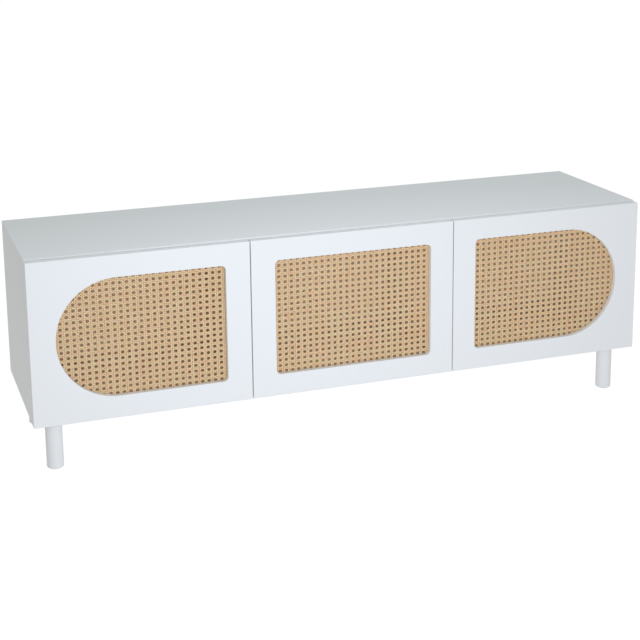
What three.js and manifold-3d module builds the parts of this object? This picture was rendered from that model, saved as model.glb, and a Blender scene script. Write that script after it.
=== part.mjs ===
// A low television cabinet on four round legs, with three doors that hold panels of woven cane.
// Millimetres. X runs along the front, Y from the door faces to the back, Z up from the floor.
// The origin lies on the floor, at the middle of the width and of the depth.

import * as THREE from 'three';
import { mergeVertices } from 'three/addons/utils/BufferGeometryUtils.js';
import { RoundedBoxGeometry } from 'three/addons/geometries/RoundedBoxGeometry.js';
import Module from 'manifold-3d';

// The whole cabinet
const width = 1500;
const depth = 395;
const height = 495;
const legHeight = 118;

// Boards
const boardThickness = 15;
const backThickness = 5;
const rebateWidth = 8;
const edgeRound = 0.8;
const edgeSteps = 1;

// Clearances and cuts
const fitGap = 0.3;
const overrun = 4;

// Doors
const doorCount = 3;
const doorThickness = 18;
const doorStandoff = 2;
const doorGap = 2;
const topReveal = 3;

// Opening in a door, and the rebate behind it. The stiles are wide enough for the hinge cups.
const railHeight = 50.75;
const rebateLand = 10;
const cornerRadius = 11;
const cornerSteps = 4;
const roundEndSteps = 13;
const rebateLip = 7;
const lipThickness = 12;

// Cane panel, drawn as a coarse net
const caneThickness = 1.6;
const canePitch = 37.5;
const caneHoleWidth = 23;
const caneHoleSides = 8;

// Cable holes in the back panel
const cableHoleRadius = 30;
const cableHoleRise = 262;
const cableHoleSides = 24;

// Legs, with the stud that holds each one
const legRadius = 19;
const legFootRound = 3.5;
const legTopRound = 1;
const legRoundSteps = 2;
const legSides = 28;
const legSideInset = 49.5;
const legFrontInset = 53;
const legBackInset = 63;
const studRadius = 4;
const studLength = 14;
const studSides = 8;

// Mounting plate of a leg
const legPlateWidth = 64;
const legPlateThickness = 2.5;
const legPlateCorner = 8;
const legPlateHoleInset = 9;
const plateScrewRadius = 2.2;
const screwHoleSides = 6;

// Cup hinge, in plan: measured from the door's hinge edge and from the door's face
const hingeInset = 75;
const cupEdge = 5;
const cupRadius = 17.5;
const cupWall = 1;
const cupDepth = 12;
const cupSides = 20;
const flangeRadius = 19.5;
const flangeThickness = 1;
const flangeEarRadius = 5.5;
const flangeEarSides = 10;
const flangeScrewReach = 26;
const flangeScrewRadius = 1.8;
const armPivot = new THREE.Vector2(32, 11.8);
const linkKnee = new THREE.Vector2(22, 10.5);
const linkDip = new THREE.Vector2(15.7, 9.6);
const linkEnd = new THREE.Vector2(11.2, 12.6);
const linkThickness = 2;
const linkWidth = 7;
const linkSteps = 7;
const eyeRadius = 3;
const eyeSides = 12;
const pivotRadius = 1.2;
const pivotSides = 8;
const armThickness = 2.2;
const armWidth = 12.4;
const armEndWidth = 1.8;
const armRise = 14;
const armBend = 13;
const armBendSteps = 5;
const armLength = 72;

// Mounting plate of a hinge
const hingePlateThickness = 5;
const hingePlateSetback = 10;
const hingePlateLength = 50;
const hingePlateWidth = 13;
const hingePlateReach = 24;
const hingePlateWing = 16;
const hingeScrewSetback = 37;
const hingeScrewReach = 16;

// Push latch
const latchWidth = 14;
const latchLength = 58;
const latchSetback = 1;
const latchInset = 45;
const plungerRadius = 4;
const plungerLength = 46;
const plungerTipRound = 1.2;
const plungerSides = 16;
const latchFloor = 4;
const strikeRadius = 8;
const strikeThickness = 1;
const strikeSides = 16;

// Places that follow from the sizes
const halfWidth = width / 2;
const faceY = -depth / 2;
const backY = depth / 2;
const carcassY = faceY + doorThickness + doorStandoff;
const panelBackY = backY - backThickness - fitGap;
const undersideZ = legHeight;
const bottomTopZ = undersideZ + boardThickness;
const topUnderZ = height - boardThickness;
const sideInnerX = halfWidth - boardThickness;
const doorWidth = (width - (doorCount - 1) * doorGap) / doorCount;
const doorHeight = height - topReveal - undersideZ;
const cupCentre = cupEdge + cupRadius;
const stileWidth = cupCentre + cupRadius + rebateLand + rebateLip;
const openingWidth = doorWidth - 2 * stileWidth;
const openingHeight = doorHeight - 2 * railHeight;
const partitionX = (doorWidth + doorGap) / 2;
const partitionInnerX = partitionX - boardThickness / 2;
const partitionOuterX = partitionX + boardThickness / 2;

const wasm = await Module();
wasm.setup();

// Solids from geometries, and back

function toSolid(geometry) {
  const bare = geometry.clone();
  bare.deleteAttribute('normal');
  bare.deleteAttribute('uv');
  const merged = mergeVertices(bare);
  const vertProperties = merged.attributes.position.array;
  const triVerts = new Uint32Array(merged.index.array);
  return new wasm.Manifold(new wasm.Mesh({ numProp: 3, vertProperties, triVerts }));
}

function toGeometry(solid) {
  const mesh = solid.getMesh();
  const geometry = new THREE.BufferGeometry();
  geometry.setAttribute('position', new THREE.BufferAttribute(mesh.vertProperties, 3));
  geometry.setIndex(new THREE.BufferAttribute(mesh.triVerts, 1));
  geometry.computeVertexNormals();
  return geometry;
}

function carve(body, cuts) {
  return cuts.reduce((solid, cut) => solid.subtract(toSolid(cut)), body);
}

function join(body, additions) {
  return additions.reduce((solid, addition) => solid.add(toSolid(addition)), body);
}

// Basic forms, each given by the planes or the circle that bound it

function block([x0, x1], [y0, y1], [z0, z1]) {
  const box = new THREE.BoxGeometry(x1 - x0, y1 - y0, z1 - z0);
  return box.translate((x0 + x1) / 2, (y0 + y1) / 2, (z0 + z1) / 2);
}

function softBoard([x0, x1], [y0, y1], [z0, z1]) {
  const box = new RoundedBoxGeometry(x1 - x0, y1 - y0, z1 - z0, edgeSteps, edgeRound);
  return box.translate((x0 + x1) / 2, (y0 + y1) / 2, (z0 + z1) / 2);
}

function rodAlongY(radius, [y0, y1], x, z, sides) {
  return new THREE.CylinderGeometry(radius, radius, y1 - y0, sides).translate(x, (y0 + y1) / 2, z);
}

function rodAlongX(radius, [x0, x1], y, z, sides) {
  const rod = new THREE.CylinderGeometry(radius, radius, x1 - x0, sides).rotateZ(Math.PI / 2);
  return rod.translate((x0 + x1) / 2, y, z);
}

function rodAlongZ(radius, [z0, z1], x, y, sides) {
  const rod = new THREE.CylinderGeometry(radius, radius, z1 - z0, sides).rotateX(Math.PI / 2);
  return rod.translate(x, y, (z0 + z1) / 2);
}

// A shape drawn in plan, in X and Y, and raised between two heights.
function raised(shape, [z0, z1]) {
  const options = { depth: z1 - z0, bevelEnabled: false };
  return new THREE.ExtrudeGeometry(shape, options).translate(0, 0, z0);
}

// A shape drawn in elevation, in X and Z, and given its thickness along Y.
function upright(shape, [y0, y1], edge = 0) {
  const options = {
    depth: y1 - y0 - 2 * edge,
    bevelEnabled: edge > 0,
    bevelSize: edge,
    bevelThickness: edge,
    bevelOffset: -edge,
    bevelSegments: edgeSteps,
  };
  const geometry = new THREE.ExtrudeGeometry(shape, options).rotateX(Math.PI / 2);
  return geometry.translate(0, y1 - edge, 0);
}

// A closed profile of [radius, height] points turned about Z.
function turned(profile, sides) {
  const points = profile.map(([radius, rise]) => new THREE.Vector2(radius, rise));
  return new THREE.LatheGeometry(points, sides).rotateX(Math.PI / 2);
}

function quarterArc(centreRadius, centreRise, radius, fromAngle, steps) {
  return Array.from({ length: steps + 1 }, (_, step) => {
    const angle = fromAngle + (step / steps) * (Math.PI / 2);
    return [centreRadius + radius * Math.cos(angle), centreRise + radius * Math.sin(angle)];
  });
}

// A rectangle with rounded corners, drawn anticlockwise. A left end that is a half circle has one
// point where its two arcs meet.
function roundedRectangle([x0, x1], [z0, z1], left, right, Outline = THREE.Shape) {
  const arcs = [
    quarterArc(x1 - right.radius, z0 + right.radius, right.radius, -Math.PI / 2, right.steps),
    quarterArc(x1 - right.radius, z1 - right.radius, right.radius, 0, right.steps),
    quarterArc(x0 + left.radius, z1 - left.radius, left.radius, Math.PI / 2, left.steps),
    quarterArc(x0 + left.radius, z0 + left.radius, left.radius, Math.PI, left.steps),
  ];
  if (left.isHalfCircle) arcs[3].shift();
  return new Outline(arcs.flat().map(([x, z]) => new THREE.Vector2(x, z)));
}

function corner(radius) {
  return { radius, steps: cornerSteps, isHalfCircle: false };
}

function roundEnd(radius) {
  return { radius, steps: roundEndSteps, isHalfCircle: true };
}

// A strip of even thickness along a line of points, as a shape.
function ribbon(points, thickness) {
  const edgeAt = (side) => points.map((point, index) => {
    const before = points[Math.max(index - 1, 0)];
    const after = points[Math.min(index + 1, points.length - 1)];
    const along = after.clone().sub(before).normalize();
    const across = new THREE.Vector2(-along.y, along.x).multiplyScalar(side * thickness / 2);
    return point.clone().add(across);
  });
  return new THREE.Shape([...edgeAt(-1), ...edgeAt(1).reverse()]);
}

// Materials

function finish(color, roughness, metalness = 0) {
  return new THREE.MeshStandardMaterial({ color, roughness, metalness });
}

const lacquer = () => finish(0xe9ecef, 0.42);
const cane = () => finish(0xd2ab7a, 0.62);
const backing = () => finish(0xe4e4e2, 0.7);
const nickel = () => finish(0xb9bbbd, 0.28, 1);
const plastic = () => finish(0xdfe0e0, 0.5);
const zinc = () => finish(0xa9abad, 0.45, 1);

const cabinet = new THREE.Group();

function addPiece(name, solid, material, parent = cabinet) {
  const mesh = new THREE.Mesh(toGeometry(solid), material);
  mesh.name = name;
  parent.add(mesh);
  return mesh;
}

// Carcass

function legPlaces() {
  return ['left', 'right'].flatMap((side) => ['front', 'rear'].map((end) => ({
    name: `${end}_${side}`,
    x: (side === 'left' ? -1 : 1) * (halfWidth - legSideInset),
    y: end === 'front' ? faceY + legFrontInset : backY - legBackInset,
  })));
}

function topPanel() {
  const board = softBoard([-halfWidth, halfWidth], [carcassY, backY], [topUnderZ, height]);
  const rebate = block(
    [-sideInnerX - rebateWidth, sideInnerX + rebateWidth],
    [panelBackY, backY + overrun],
    [topUnderZ - overrun, topUnderZ + rebateWidth],
  );
  return carve(toSolid(board), [rebate]);
}

function bottomPanel() {
  const reach = sideInnerX - fitGap;
  const board = softBoard([-reach, reach], [carcassY, panelBackY], [undersideZ, bottomTopZ]);
  const boreTop = undersideZ + studLength - legPlateThickness;
  const bores = legPlaces().map(({ x, y }) =>
    rodAlongZ(studRadius + fitGap, [undersideZ - overrun, boreTop], x, y, studSides));
  return carve(toSolid(board), bores);
}

function sidePanel(side) {
  const outer = side * halfWidth;
  const inner = side * sideInnerX;
  const span = [Math.min(outer, inner), Math.max(outer, inner)];
  const board = softBoard(span, [carcassY, backY], [undersideZ, topUnderZ - fitGap]);
  const rebateSpan = [inner - side * overrun, inner + side * rebateWidth].sort((a, b) => a - b);
  const rebate = block(rebateSpan, [panelBackY, backY + overrun], [undersideZ - overrun, height]);
  return carve(toSolid(board), [rebate]);
}

function partition(side) {
  const span = [side * partitionX - boardThickness / 2, side * partitionX + boardThickness / 2];
  return toSolid(softBoard(span, [carcassY, panelBackY], [bottomTopZ + fitGap, topUnderZ - fitGap]));
}

function backPanel() {
  const reach = sideInnerX + rebateWidth - fitGap;
  const board = block([-reach, reach], [backY - backThickness, backY],
    [undersideZ, topUnderZ + rebateWidth - fitGap]);
  const through = [backY - backThickness - overrun, backY + overrun];
  const holeZ = bottomTopZ + cableHoleRise;
  const holes = compartments().map(({ from, to }) =>
    rodAlongY(cableHoleRadius, through, (from + to) / 2, holeZ, cableHoleSides));
  return carve(toSolid(board), holes);
}

function compartments() {
  return [
    { from: -sideInnerX, to: -partitionOuterX },
    { from: -partitionInnerX, to: partitionInnerX },
    { from: partitionOuterX, to: sideInnerX },
  ];
}

// Legs

function leg(x, y) {
  const top = undersideZ - legPlateThickness - 2 * fitGap;
  const footRadius = legRadius - legFootRound;
  const foot = quarterArc(footRadius, legFootRound, legFootRound, -Math.PI / 2, legRoundSteps);
  const crown = quarterArc(legRadius - legTopRound, top - legTopRound, legTopRound, 0, legRoundSteps - 1);
  const body = toSolid(turned([[0, 0], ...foot, ...crown, [0, top]], legSides).translate(x, y, 0));
  const studTop = undersideZ + studLength - legPlateThickness - fitGap;
  return join(body, [rodAlongZ(studRadius, [top - overrun, studTop], x, y, studSides)]);
}

function legPlate(x, y) {
  const reach = legPlateWidth / 2;
  const plateCorner = corner(legPlateCorner);
  const outline = roundedRectangle([-reach, reach], [-reach, reach], plateCorner, plateCorner);
  const heights = [undersideZ - legPlateThickness - fitGap, undersideZ - fitGap];
  const plate = raised(outline, heights).translate(x, y, 0);
  const through = [heights[0] - overrun, heights[1] + overrun];
  const screwReach = reach - legPlateHoleInset;
  const screwHoles = [-1, 1].flatMap((across) => [-1, 1].map((along) => rodAlongZ(
    plateScrewRadius, through, x + across * screwReach, y + along * screwReach, screwHoleSides)));
  const studHole = rodAlongZ(studRadius + fitGap, through, x, y, studSides);
  return carve(toSolid(plate), [studHole, ...screwHoles]);
}

// Doors. Each is built from its hinge edge: X runs to the free edge, Y from its face into the
// cabinet, and Z up from its lower edge. The right door is the left one mirrored.

// The opening's outline, grown by the given amount. A round end faces the hinge edge.
function openingOutline(growth, hasRoundEnd, Outline) {
  const reachX = openingWidth / 2 + growth;
  const reachZ = openingHeight / 2 + growth;
  const small = corner(cornerRadius + growth);
  const [centreX, centreZ] = [doorWidth / 2, doorHeight / 2];
  return roundedRectangle([centreX - reachX, centreX + reachX], [centreZ - reachZ, centreZ + reachZ],
    hasRoundEnd ? roundEnd(reachZ) : small, small, Outline);
}

function door(hasRoundEnd) {
  const outline = new THREE.Shape();
  outline.moveTo(0, 0).lineTo(doorWidth, 0).lineTo(doorWidth, doorHeight).lineTo(0, doorHeight);
  outline.closePath();
  outline.holes.push(openingOutline(0, hasRoundEnd, THREE.Path));
  const frame = upright(outline, [0, doorThickness], edgeRound);
  const rebateDepths = [lipThickness, doorThickness + overrun];
  const rebate = upright(openingOutline(rebateLip, hasRoundEnd), rebateDepths);
  const boreDepths = [doorThickness - cupDepth - fitGap, doorThickness + overrun];
  const bores = hingeHeights().map((z) =>
    rodAlongY(cupRadius + fitGap, boreDepths, cupCentre, z, cupSides));
  return carve(toSolid(frame), [rebate, ...bores]);
}

function hingeHeights() {
  return [hingeInset, doorHeight - hingeInset];
}

// A net of eight-sided holes, coarser than the real weave, inside the rebate of the door.
function canePanel(hasRoundEnd) {
  const outline = openingOutline(rebateLip - fitGap, hasRoundEnd);
  const margin = (canePitch - caneHoleWidth) / 4;
  const columns = Math.floor((openingWidth - 2 * margin) / canePitch);
  const rows = Math.floor((openingHeight - 2 * margin) / canePitch);
  const firstX = doorWidth / 2 - ((columns - 1) / 2) * canePitch;
  const firstZ = doorHeight / 2 - ((rows - 1) / 2) * canePitch;
  for (let column = 0; column < columns; column += 1) {
    for (let row = 0; row < rows; row += 1) {
      const x = firstX + column * canePitch;
      const z = firstZ + row * canePitch;
      if (!hasRoundEnd || isInsideRoundEnd(x, z, margin)) outline.holes.push(caneHole(x, z));
    }
  }
  const front = lipThickness + fitGap;
  return toSolid(upright(outline, [front, front + caneThickness]));
}

function caneHole(x, z) {
  const radius = caneHoleWidth / 2 / Math.cos(Math.PI / caneHoleSides);
  const corners = Array.from({ length: caneHoleSides }, (_, corner) => {
    const angle = -(corner + 0.5) * (2 * Math.PI / caneHoleSides);
    return new THREE.Vector2(x + radius * Math.cos(angle), z + radius * Math.sin(angle));
  });
  return new THREE.Path([...corners, corners[0]]);
}

function isInsideRoundEnd(x, z, margin) {
  const endRadius = openingHeight / 2;
  const endCentreX = (doorWidth - openingWidth) / 2 + endRadius;
  if (x > endCentreX) return true;
  return Math.hypot(endCentreX - x, z - doorHeight / 2) < endRadius - margin - caneHoleWidth / 2;
}

// The thin frame that holds the cane against the lip, flush with the door's back.
function caneRetainer(hasRoundEnd) {
  const outline = openingOutline(rebateLip - fitGap, hasRoundEnd);
  outline.holes.push(openingOutline(0, hasRoundEnd, THREE.Path));
  const front = lipThickness + caneThickness + 2 * fitGap;
  return toSolid(upright(outline, [front, doorThickness]));
}

// Cup hinge

// The pressed cup with its flange, which lies on the door's back and has an ear at each end.
function hingeCup(z) {
  const rim = doorThickness + fitGap + flangeThickness;
  const seat = doorThickness + fitGap;
  const floor = doorThickness - cupDepth;
  const inner = cupRadius - cupWall;
  const profile = [[0, floor], [cupRadius, floor], [cupRadius, seat], [flangeRadius, seat],
    [flangeRadius, rim], [inner, rim], [inner, floor + cupWall], [0, floor + cupWall]];
  const pot = turned(profile, cupSides).rotateX(-Math.PI / 2).translate(cupCentre, 0, z);
  const ears = [-1, 1].flatMap((end) => {
    const earZ = z + end * flangeScrewReach;
    const strip = [z + end * (cupRadius + cupWall), earZ].sort((a, b) => a - b);
    return [
      rodAlongY(flangeEarRadius, [seat, rim], cupCentre, earZ, flangeEarSides),
      block([cupCentre - flangeEarRadius, cupCentre + flangeEarRadius], [seat, rim], strip),
    ];
  });
  const through = [seat - overrun, rim + overrun];
  const holes = [-1, 1].map((end) =>
    rodAlongY(flangeScrewRadius, through, cupCentre, z + end * flangeScrewReach, screwHoleSides));
  return carve(join(toSolid(pot), ears), holes);
}

// The curved link: an eye on the arm's pin, and a tongue that lies in the cup.
function hingeLink(z) {
  const curve = new THREE.SplineCurve([armPivot, linkKnee, linkDip, linkEnd]);
  const heights = [z - linkWidth / 2, z + linkWidth / 2];
  const strip = raised(ribbon(curve.getPoints(linkSteps), linkThickness), heights);
  const eye = rodAlongZ(eyeRadius, heights, armPivot.x, armPivot.y, eyeSides);
  const pinHole = rodAlongZ(pivotRadius + fitGap, [heights[0] - overrun, heights[1] + overrun],
    armPivot.x, armPivot.y, pivotSides);
  return carve(join(toSolid(strip), [eye]), [pinHole]);
}

// The cranked arm: it ends in a fork with the link's pin, and lies on the mounting plate.
function hingeArm(z, mountX) {
  const railX = mountX + hingePlateThickness + 2 * fitGap + armThickness / 2;
  const riseEnd = armPivot.y + armRise;
  const bendEnd = riseEnd + armBend;
  const bend = new THREE.CubicBezierCurve(
    new THREE.Vector2(armPivot.x, riseEnd),
    new THREE.Vector2(armPivot.x, riseEnd + armBend / 2),
    new THREE.Vector2(railX, bendEnd - armBend / 2),
    new THREE.Vector2(railX, bendEnd),
  );
  const line = [armPivot, ...bend.getPoints(armBendSteps), new THREE.Vector2(railX, riseEnd + armLength)];
  const heights = [z - armWidth / 2, z + armWidth / 2];
  const strip = raised(ribbon(line, armThickness), heights);
  const eye = rodAlongZ(eyeRadius, heights, armPivot.x, armPivot.y, eyeSides);
  const slotHeights = [z - armWidth / 2 + armEndWidth, z + armWidth / 2 - armEndWidth];
  const slotReach = eyeRadius + 2 * fitGap;
  const slot = block([armPivot.x - slotReach, armPivot.x + slotReach],
    [armPivot.y - slotReach, armPivot.y + slotReach], slotHeights);
  const pin = rodAlongZ(pivotRadius, heights, armPivot.x, armPivot.y, pivotSides);
  return join(carve(join(toSolid(strip), [eye]), [slot]), [pin]);
}

// The cross-shaped plate that is screwed to a side panel or a partition.
function hingePlate(z, mountX) {
  const carcassFront = doorThickness + doorStandoff;
  const front = carcassFront + hingePlateSetback;
  const seat = [mountX + fitGap, mountX + fitGap + hingePlateThickness];
  const railHeights = [z - hingePlateWidth / 2, z + hingePlateWidth / 2];
  const rail = block(seat, [front, front + hingePlateLength], railHeights);
  const screwLine = carcassFront + hingeScrewSetback;
  const wingSpan = [screwLine - hingePlateWing / 2, screwLine + hingePlateWing / 2];
  const wingSeat = [seat[0], seat[0] + hingePlateThickness / 2];
  const wings = block(wingSeat, wingSpan, [z - hingePlateReach, z + hingePlateReach]);
  const through = [seat[0] - overrun, seat[1] + overrun];
  const holes = [-1, 1].map((end) =>
    rodAlongX(plateScrewRadius, through, screwLine, z + end * hingeScrewReach, screwHoleSides));
  return carve(join(toSolid(rail), [wings]), holes);
}

// Push latch, under the top panel near the door's free edge

function latchAxis() {
  const x = doorWidth - latchInset;
  const z = topUnderZ - undersideZ - fitGap - latchWidth / 2;
  return { x, z };
}

function latchHousing() {
  const { x, z } = latchAxis();
  const front = doorThickness + doorStandoff + latchSetback;
  const body = softBoard([x - latchWidth / 2, x + latchWidth / 2], [front, front + latchLength],
    [z - latchWidth / 2, z + latchWidth / 2]);
  const boreDepths = [front - overrun, front + latchLength - latchFloor];
  return carve(toSolid(body), [rodAlongY(plungerRadius + fitGap, boreDepths, x, z, plungerSides)]);
}

function latchPlunger() {
  const { x, z } = latchAxis();
  const tip = doorThickness + strikeThickness + 2 * fitGap;
  const profile = [[0, 0], [plungerRadius - plungerTipRound, 0], [plungerRadius, plungerTipRound],
    [plungerRadius, plungerLength], [0, plungerLength]];
  return toSolid(turned(profile, plungerSides).rotateX(-Math.PI / 2).translate(x, tip, z));
}

function strikePlate() {
  const { x, z } = latchAxis();
  const faces = [doorThickness + fitGap, doorThickness + fitGap + strikeThickness];
  return toSolid(rodAlongY(strikeRadius, faces, x, z, strikeSides));
}

// The three doors with their fittings

const sharedMountX = (boardThickness - doorGap) / 2;
const doors = [
  { name: 'left', hingeX: -halfWidth, side: 1, hasRoundEnd: true, mountX: boardThickness },
  { name: 'middle', hingeX: -doorWidth / 2, side: 1, hasRoundEnd: false, mountX: sharedMountX },
  { name: 'right', hingeX: halfWidth, side: -1, hasRoundEnd: true, mountX: boardThickness },
];

function addDoor({ name, hingeX, side, hasRoundEnd, mountX }) {
  const group = new THREE.Group();
  group.position.set(hingeX, faceY, undersideZ);
  group.scale.x = side;
  addPiece(`${name}_door`, door(hasRoundEnd), lacquer(), group);
  addPiece(`${name}_cane`, canePanel(hasRoundEnd), cane(), group);
  addPiece(`${name}_cane_retainer`, caneRetainer(hasRoundEnd), backing(), group);
  hingeHeights().forEach((z, index) => {
    const hinge = `${name}_${['lower', 'upper'][index]}_hinge`;
    addPiece(`${hinge}_cup`, hingeCup(z), nickel(), group);
    addPiece(`${hinge}_link`, hingeLink(z), nickel(), group);
    addPiece(`${hinge}_arm`, hingeArm(z, mountX), nickel(), group);
    addPiece(`${hinge}_plate`, hingePlate(z, mountX), zinc(), group);
  });
  addPiece(`${name}_latch_housing`, latchHousing(), plastic(), group);
  addPiece(`${name}_latch_plunger`, latchPlunger(), plastic(), group);
  addPiece(`${name}_strike_plate`, strikePlate(), zinc(), group);
  cabinet.add(group);
}

addPiece('top_panel', topPanel(), lacquer());
addPiece('bottom_panel', bottomPanel(), lacquer());
addPiece('left_side_panel', sidePanel(-1), lacquer());
addPiece('right_side_panel', sidePanel(1), lacquer());
addPiece('left_partition', partition(-1), lacquer());
addPiece('right_partition', partition(1), lacquer());
addPiece('back_panel', backPanel(), backing());
legPlaces().forEach(({ name, x, y }) => {
  addPiece(`${name}_leg`, leg(x, y), lacquer());
  addPiece(`${name}_leg_plate`, legPlate(x, y), zinc());
});
doors.forEach(addDoor);

export default cabinet;
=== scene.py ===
import math

import bmesh
import bpy
from mathutils import Matrix, Vector


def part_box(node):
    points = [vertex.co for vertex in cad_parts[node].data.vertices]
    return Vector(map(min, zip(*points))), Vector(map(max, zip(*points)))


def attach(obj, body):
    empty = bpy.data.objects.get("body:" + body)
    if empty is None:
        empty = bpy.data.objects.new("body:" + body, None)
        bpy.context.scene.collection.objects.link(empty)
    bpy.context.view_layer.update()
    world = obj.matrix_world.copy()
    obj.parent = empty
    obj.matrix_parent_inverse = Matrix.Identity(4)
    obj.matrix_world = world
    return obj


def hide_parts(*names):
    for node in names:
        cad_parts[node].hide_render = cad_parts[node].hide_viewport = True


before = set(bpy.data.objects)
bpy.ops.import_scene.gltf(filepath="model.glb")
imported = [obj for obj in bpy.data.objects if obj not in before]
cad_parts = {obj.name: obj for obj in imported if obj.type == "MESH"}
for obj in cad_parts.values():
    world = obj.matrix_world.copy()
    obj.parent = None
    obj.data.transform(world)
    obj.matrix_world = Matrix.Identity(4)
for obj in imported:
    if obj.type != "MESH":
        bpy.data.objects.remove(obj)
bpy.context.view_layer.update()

# A low white television cabinet with cane doors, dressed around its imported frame. Metres.
# X runs along the front, Y from the door faces to the back, Z up from the floor.

# Camera of the photograph
LENS = 78.22
SENSOR = 36.0
CAMERA_PLACE = (-1.1013, -3.0924, 1.2911)
CAMERA_YAW = math.radians(19.383)
CAMERA_DROP = math.radians(12.325)
CAMERA_ROLL = math.radians(0.608)
CAMERA_SHIFT = -0.22

# Doors: the side their free edge lies on, and whether the hinge end of the opening is round
DOORS = {
    "left": {"side": 1, "round_end": True},
    "middle": {"side": 1, "round_end": False},
    "right": {"side": -1, "round_end": True},
}
DOOR_EDGE_ROUND = 0.0008
LIP_DEPTH = 0.012
REBATE_LIP = 0.007
REBATE_PLAY = 0.0003
OPENING_CORNER = 0.011
ARC_STEP = math.radians(4)
OVERRUN = 0.004

# Edges and meshes
REFINED_EDGE = 0.00025
REFINED_SEGMENTS = 2
ROUND_SEGMENTS = 3
SHARP_ANGLE = math.radians(32)
FLAT_ANGLE = math.radians(0.5)
MERGE_DISTANCE = 1e-5
SAME_POINT = 1e-6

# Cup hinges, measured like the doors: from the hinge edge, from the face and from the lower edge
CUP_CENTRE = 0.0225
CUP_RADIUS = 0.0175
CUP_WALL = 0.001
CUP_FLANGE_RADIUS = 0.0195
CUP_SIDES = 56
EAR_RADIUS = 0.0055
EAR_REACH = 0.026

# Weave of the cane
CANE_MESH_WIDTH = 0.01503
CANE_MESH_HEIGHT = 0.01334
UPRIGHT_WIDTH = 0.0032
UPRIGHT_SPACING = 0.0044
LEVEL_WIDTH = 0.0029
LEVEL_SPACING = 0.0038
SLANT_WIDTH = 0.0029
STRAND_THICKNESS = 0.00078
PAIR_SWAY = 0.00038
SLANT_SWAY = 0.00054
CROWN_SHARE = 0.62
MESH_WANDER = 0.00035
STRANDS_PER_PAIR = 2
SAMPLES_PER_MESH = 6
# Tone ranges of the strands: random within each range, but the slants take the lighter end as a painted
# highlight and the uprights and levels the darker end as painted shade
GROUND_TONES_AND_PAINTED_SHADE = (0.0, 0.8)
SLANT_TONES_AND_PAINTED_HIGHLIGHT = (0.45, 1.0)
WIDTH_RANGE = (0.93, 1.05)
FEWEST_POINTS = 2.5
WANDER_SCALE = 30.0

# Legs
LEG_RADIUS = 0.019
LEG_FOOT_ROUND = 0.0035
LEG_TOP_ROUND = 0.0010
LEG_SIDES = 72
STUD_RADIUS = 0.004
GLIDE_RADIUS = 0.0140
GLIDE_HEIGHT = 0.0018

# Small fittings. The strike plate's screw is nearly flush, so that it clears the latch.
HEAD_SIDES = 20
RECESS_OVERRUN = 0.00002
PLATE_SCREW = {"Radius": 0.0040, "Height": 0.0014, "Recess Length": 0.0042, "Recess Width": 0.0008,
               "Recess Depth": 0.0009}
CUP_SCREW = {"Radius": 0.0034, "Height": 0.0010, "Recess Length": 0.0036, "Recess Width": 0.0007,
             "Recess Depth": 0.0007}
ARM_SCREW = {"Radius": 0.0030, "Height": 0.0016, "Recess Length": 0.0034, "Recess Width": 0.0007,
             "Recess Depth": 0.0009}
STRIKE_SCREW = {**CUP_SCREW, "Height": 0.0002, "Recess Depth": 0.00014}
PANEL_NAIL = {"Radius": 0.0028, "Height": 0.0006}
RETAINER_PIN = {"Radius": 0.0011, "Height": 0.0003}
CAM_COVER = {"Radius": 0.0085, "Height": 0.0009, "Crown Share": 0.93}
BUMPER = {"Radius": 0.0040, "Height": 0.0017, "Crown Share": 0.66}
LEG_SCREW_INSET = 0.009
HINGE_SCREW_SETBACK = 0.027
HINGE_SCREW_REACH = 0.016
ARM_SCREW_SETBACKS = (0.013, 0.041)
ARM_THICKNESS = 0.0022
NAIL_SPACING = 0.12
NAIL_INSET = 0.0042
RETAINER_PIN_SPACING = 0.068
BUMPER_INSET = 0.0105
BUMPER_RISE = 0.0070
CAM_DROP = 0.034
CAM_SETBACK = 0.086

# Colours of the finishes
WORN_LACQUER = (0.70, 0.69, 0.66, 1.0)
LACQUER_WEAR = 0.35
RUBBED_METAL = (0.88, 0.88, 0.87, 1.0)
METAL_WEAR = 0.5
BOARD_FACE = ((0.88, 0.81, 0.70, 1.0), (0.85, 0.77, 0.65, 1.0))
BOARD_FIBRE = ((0.23, 0.14, 0.08, 1.0), (0.42, 0.29, 0.18, 1.0))
CUT_FACING = 0.5
CANE_TONES = (
    (0.0, (0.75, 0.42, 0.25, 1.0)),
    (0.25, (0.81, 0.54, 0.31, 1.0)),
    (0.5, (0.85, 0.61, 0.37, 1.0)),
    (0.75, (0.80, 0.60, 0.34, 1.0)),
    (1.0, (0.94, 0.77, 0.54, 1.0)),
)
CANE_FIBRE = (0.62, 0.40, 0.20, 1.0)
AGED_CANE = (0.76, 0.50, 0.28, 1.0)
TONE_SHARE = 0.75
TONE_TRACK = 7.0

# Studio
ROOM_LIGHT = 0.545
ROOM_COLOUR = (0.93, 0.985, 1.0, 1.0)
FLOOR_GLOW = 0.48
FLOOR_LOOK = 0.86
FLOOR_REACH = 30.0
FLOOR_THICKNESS = 0.01
FLOOR_COLOUR = (0.25, 0.25, 0.25, 1.0)
LIT_PLACE = (0.0, 0.0, 0.30)
FRONT_PLACE = (-0.2, -1.8, 0.60)
FRONT_SIZE = (0.9, 0.6)
FRONT_POWER = 14.0
FRONT_COLOUR = (0.78, 0.85, 1.0)
TOP_PLACE = (0.1, 0.2, 2.6)
TOP_SIZE = (2.2, 1.2)
TOP_POWER = 12.2
TOP_COLOUR = (0.84, 0.94, 1.0)
CANE_GLOW_POWER = 0.15
CANE_GLOW_COLOUR = (1.0, 0.52, 0.18)
CANE_GLOW_SHARE = 0.9
CANE_GLOW_GAP = 0.004


# Node helpers

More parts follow.
